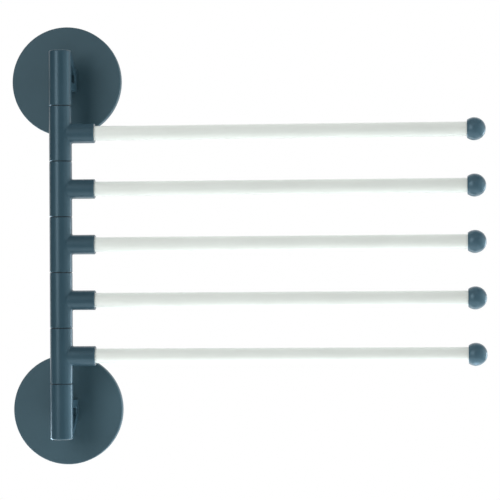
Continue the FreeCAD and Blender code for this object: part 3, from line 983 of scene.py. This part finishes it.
    def disc(self) -> bpy.types.Mesh:
        """Return the dished disc with its rounded front edge and the ribs behind its face."""
        front = -self.disc_depth
        inside = front + self.disc_wall
        inner = self.disc_radius - self.disc_rim
        shell = self.shop.lathe.turn("shell", ring([
            (self.disc_hole, inside, 0.0),
            (self.disc_hole, front, 0.0),
            (self.disc_radius, front, self.disc_round),
            (self.disc_radius, -self.wall_gap, self.disc_lip),
            (inner, -self.wall_gap, self.disc_lip),
            (inner, inside, self.disc_corner),
        ]), self.shop.materials[PLASTIC], segments=192, round_steps=10)
        mesh = self.add_ribs(shell, inner, inside)
        mesh.transform(self.frame_place() @ Axis.Y.turn())
        return mesh

    def add_ribs(self, shell: bpy.types.Mesh, rim: float, inside: float) -> bpy.types.Mesh:
        """Join the ribs to the shell, each from the hub's clearance to the rim.

        Args:
            shell: the turned shell, with its axis along Z.
            rim: the inner radius of the side wall.
            inside: the place of the front wall's inner face.

        Returns:
            The finished mesh.
        """
        inputs = {"Count": "Int", "Size": "Vector", "Middle": "Vector", "Material": "Material"}
        tree, given = new_tree("disc_ribs", inputs)
        size = given.outputs
        cube = add_node(tree, "GeometryNodeMeshCube", links={"Size": size["Size"]})
        rib = add_node(tree, "GeometryNodeTransform",
                       links={"Geometry": cube.outputs["Mesh"], "Translation": size["Middle"]})
        spots = add_node(tree, "GeometryNodePoints", links={"Count": size["Count"]})
        index = add_node(tree, "GeometryNodeInputIndex").outputs[0]
        share = add_node(tree, "ShaderNodeMath", links={0: index, 1: size["Count"]}, operation="DIVIDE")
        angle = add_node(tree, "ShaderNodeMath", {1: math.tau}, {0: share.outputs[0]}, operation="MULTIPLY")
        turned = add_node(tree, "ShaderNodeCombineXYZ", links={"Z": angle.outputs[0]})
        ribs = add_node(tree, "GeometryNodeInstanceOnPoints", links={
            "Points": spots.outputs[0],
            "Instance": rib.outputs[0],
            "Rotation": turned.outputs[0],
        })
        solid = add_node(tree, "GeometryNodeRealizeInstances", links={"Geometry": ribs.outputs[0]})
        joined = add_node(tree, "GeometryNodeMeshBoolean", operation="UNION", solver="EXACT")
        tree.links.new(size["Geometry"], joined.inputs["Mesh 2"])
        tree.links.new(solid.outputs[0], joined.inputs["Mesh 2"])
        end_tree(tree, joined.outputs["Mesh"], size["Material"])
        low, high = self.rib_start, rim + self.rib_bite
        front, back = inside - self.rib_bite, -self.rib_back
        return worked(shell, tree, {
            "Count": self.rib_count,
            "Size": [(high - low) * MM, self.rib_thickness * MM, (back - front) * MM],
            "Middle": [(low + high) / 2 * MM, 0.0, (front + back) / 2 * MM],
            "Material": self.shop.materials[PLASTIC],
        }, f"{self.side.value}_disc_mesh")

    def pad(self) -> bpy.types.Mesh:
        """Return the adhesive pad, with its edge pressed round."""
        mesh = self.shop.lathe.turn("pad", [
            (0.0, -self.pad_thickness, 0.0),
            (self.pad_radius, -self.pad_thickness, self.pad_edge),
            (self.pad_radius, 0.0, self.pad_edge),
            (0.0, 0.0, 0.0),
        ], self.shop.materials["pad_foam"], segments=128, round_steps=4)
        mesh.transform(self.frame_place() @ Axis.Y.turn())
        return mesh

    def build(self) -> None:
        """Fit the pieces of this mount and dress the ones that keep their own mesh."""
        side = self.side.value
        self.shop.fit(self.disc(), f"{side}_disc", f"{side}_wall_disc", PLASTIC, Version.DISC)
        self.shop.fit(self.holder(), f"{side}_column_end", f"{side}_holder", PLASTIC)
        self.shop.fit(self.end_plug(), f"{side}_plug", f"{side}_end_plug", PLASTIC)
        self.shop.fit(self.pad(), f"{side}_pad", f"{side}_wall_pad", "pad_foam")
        for kept, slot in (("anchor_plate", "anchor_plate_plastic"), ("wall_stud", "fastener_zinc"),
                           ("shaft_screw", "fastener_zinc"), ("thread_insert", "insert_brass")):
            self.shop.dress(f"{side}_{kept}", slot)


# The studio.


@dataclass(frozen=True)
class SoftBox:
    """A soft lamp that the camera doesn't see. Places and sizes are in metres, power in watts.

    It faces its target. A lamp that doesn't shine isn't mirrored by glossy surfaces. One that
    doesn't light is only mirrored: it hangs behind the object and draws the pale edge lines.
    """

    name: str
    place: tuple[float, float, float]
    target: tuple[float, float, float]
    width: float
    height: float
    power: float
    colour: str = "#FFFFFF"
    shines: bool = True
    lights: bool = True

    def build(self) -> None:
        """Hang the lamp."""
        data = bpy.data.lights.new(self.name, "AREA")
        data.shape = "RECTANGLE"
        data.size = self.width
        data.size_y = self.height
        data.energy = self.power
        data.color = linear(self.colour)[:3]
        lamp = bpy.data.objects.new(self.name, data)
        lamp.location = self.place
        way = Vector(self.target) - Vector(self.place)
        lamp.rotation_euler = way.to_track_quat("-Z", "Y").to_euler()
        lamp.visible_camera = False
        lamp.visible_glossy = self.shines
        lamp.visible_diffuse = self.lights
        bpy.context.scene.collection.objects.link(lamp)


@dataclass(frozen=True)
class Card:
    """A flat card of matt paper that isn't part of the object, from one corner, in metres."""

    name: str
    colour: str
    corner: tuple[float, float, float]
    across: tuple[float, float, float]
    along: tuple[float, float, float]
    in_picture: bool = True

    def build(self) -> None:
        """Stand the card in the studio."""
        material = bpy.data.materials.new(f"{self.name}_paper")
        material.use_nodes = True
        tree = material.node_tree
        tree.nodes.clear()
        matt = add_node(tree, "ShaderNodeBsdfDiffuse", {"Color": linear(self.colour)})
        add_node(tree, "ShaderNodeOutputMaterial", links={"Surface": matt.outputs[0]})
        corner, across, along = Vector(self.corner), Vector(self.across), Vector(self.along)
        mesh = bpy.data.meshes.new(self.name)
        mesh.from_pydata([corner, corner + across, corner + across + along, corner + along], [],
                         [(0, 1, 2, 3)])
        mesh.materials.append(material)
        card = as_object(mesh)
        card.visible_camera = self.in_picture


@dataclass(frozen=True)
class Studio:
    """A pale floor in a white room, soft lamps, dark flags on three sides, and the camera.

    The room's air is the strength and colour of the light from all round. Glossy surfaces
    mirror the white room, except where a flag that the camera doesn't see stands before it.
    """

    air: float = 0.885
    air_colour: str = "#F3FDFF"
    lens: float = 163.6
    sensor: float = 36.0
    eye: tuple[float, float, float] = (0.302, -1.818, 0.097)
    aim: tuple[float, float, float] = (0.1502, -0.038, 0.1267)
    roll_degrees: float = -0.37
    sight: float = 20.0
    lamps: tuple[SoftBox, ...] = (
        SoftBox("key_box", (-1.05, -1.85, 0.70), (0.05, -0.02, 0.13), 1.05, 1.5, 21.7),
        SoftBox("right_box", (1.90, 0.05, 0.05), (0.10, -0.02, 0.13), 0.8, 1.6, 7.2, "#DDF8FF"),
        SoftBox("right_back_box", (1.38, 1.0, -0.1), (0.05, -0.03, 0.05), 0.4, 0.68, 7.4, "#DFF3FF",
                lights=False),
        SoftBox("low_box", (0.15, -0.11, -0.42), (0.15, -0.10, 0.13), 1.4, 1.03, 4.8),
        SoftBox("low_near_box", (0.32, 0.05, -0.28), (0.0, -0.04, 0.0), 0.2, 0.2, 0.7, "#D6ECFF"),
        SoftBox("low_back_box", (0.0, 0.35, -0.42), (0.0, -0.04, -0.02), 0.5, 0.35, 1.0, lights=False),
        SoftBox("low_right_box", (0.55, 0.55, -0.36), (0.0, -0.04, 0.0), 0.5, 0.5, 1.2, lights=False),
        SoftBox("low_left_box", (-0.6, 0.55, -0.33), (0.0, -0.04, 0.0), 0.5, 0.5, 9.3, "#D2ECFF",
                lights=False),
        SoftBox("top_box", (0.2, -0.3, 2.0), (0.2, -0.29, 0.13), 2.0, 2.0, 20.4, shines=False),
        SoftBox("top_front_box", (0.2, -1.5, 1.7), (0.2, -0.05, 0.13), 2.0, 0.7, 2.6, "#FFF9F0"),
        SoftBox("top_back_box", (0.2, 1.1, 1.5), (0.15, -0.04, 0.13), 2.0, 0.8, 5.05),
        SoftBox("left_side_box", (-0.75, 0.62, 0.1), (0.0, -0.03, 0.1), 0.15, 0.9, 0.6, lights=False),
    )
    cards: tuple[Card, ...] = (
        Card("floor", "#EFEFED", (-8.0, -8.0, -0.85), (16.0, 0.0, 0.0), (0.0, 14.0, 0.0)),
        Card("front_flag", "#303030", (-3.0, -3.2, -0.6), (6.0, 0.0, 0.0), (0.0, 0.0, 2.8), False),
        Card("left_flag", "#303030", (-2.0, -3.2, -0.6), (0.0, 4.8, 0.0), (0.0, 0.0, 2.8), False),
        Card("top_flag", "#303030", (-2.0, -3.2, 2.2), (4.5, 0.0, 0.0), (0.0, 5.2, 0.0), False),
    )

    def room(self) -> None:
        """Fill the room with even light, and show it as plain white to the eye and in reflections."""
        world = bpy.data.worlds.new("white_room")
        world.use_nodes = True
        tree = world.node_tree
        tree.nodes.clear()
        path = add_node(tree, "ShaderNodeLightPath")
        seen = path.outputs["Is Camera Ray"]
        for name in ("Is Glossy Ray", "Is Transmission Ray"):
            seen = add_node(tree, "ShaderNodeMath", links={0: seen, 1: path.outputs[name]},
                            operation="MAXIMUM").outputs[0]
        air = add_node(tree, "ShaderNodeBackground", {"Color": linear(self.air_colour), "Strength": self.air})
        white = add_node(tree, "ShaderNodeBackground", {"Color": (1, 1, 1, 1), "Strength": 1.0})
        shown = add_node(tree, "ShaderNodeMixShader", links={0: seen, 1: air.outputs[0], 2: white.outputs[0]})
        add_node(tree, "ShaderNodeOutputWorld", links={"Surface": shown.outputs[0]})
        bpy.context.scene.world = world

    def camera(self) -> None:
        """Set the camera where the product picture was taken from."""
        data = bpy.data.cameras.new("product_camera")
        data.lens = self.lens
        data.sensor_width = self.sensor
        data.clip_end = self.sight
        camera = bpy.data.objects.new("product_camera", data)
        forward = (Vector(self.aim) - Vector(self.eye)).normalized()
        right = forward.cross(Vector((0, 0, 1))).normalized()
        up = right.cross(forward)
        roll = math.radians(self.roll_degrees)
        across = right * math.cos(roll) + up * math.sin(roll)
        upright = up * math.cos(roll) - right * math.sin(roll)
        turn = Matrix((across, upright, -forward)).transposed().to_4x4()
        camera.matrix_world = Matrix.Translation(self.eye) @ turn
        bpy.context.scene.collection.objects.link(camera)
        bpy.context.scene.camera = camera

    def build(self) -> None:
        """Set up the cards, the lamps, the room and the camera."""
        for item in (*self.cards, *self.lamps):
            item.build()
        self.room()
        self.camera()
        bpy.context.scene.view_settings.view_transform = "Standard"


def main() -> None:
    """Build the towel bar piece by piece, then the studio."""
    logging.basicConfig(level=logging.INFO, format="%(message)s")
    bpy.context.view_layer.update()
    shop = Workshop()
    for side in Side:
        WallMount(shop, side).build()
    Column(shop).build()
    for number in ARM_NUMBERS:
        SwingArm(shop, number).build()
    Studio().build()


if __name__ == "__main__":
    main()
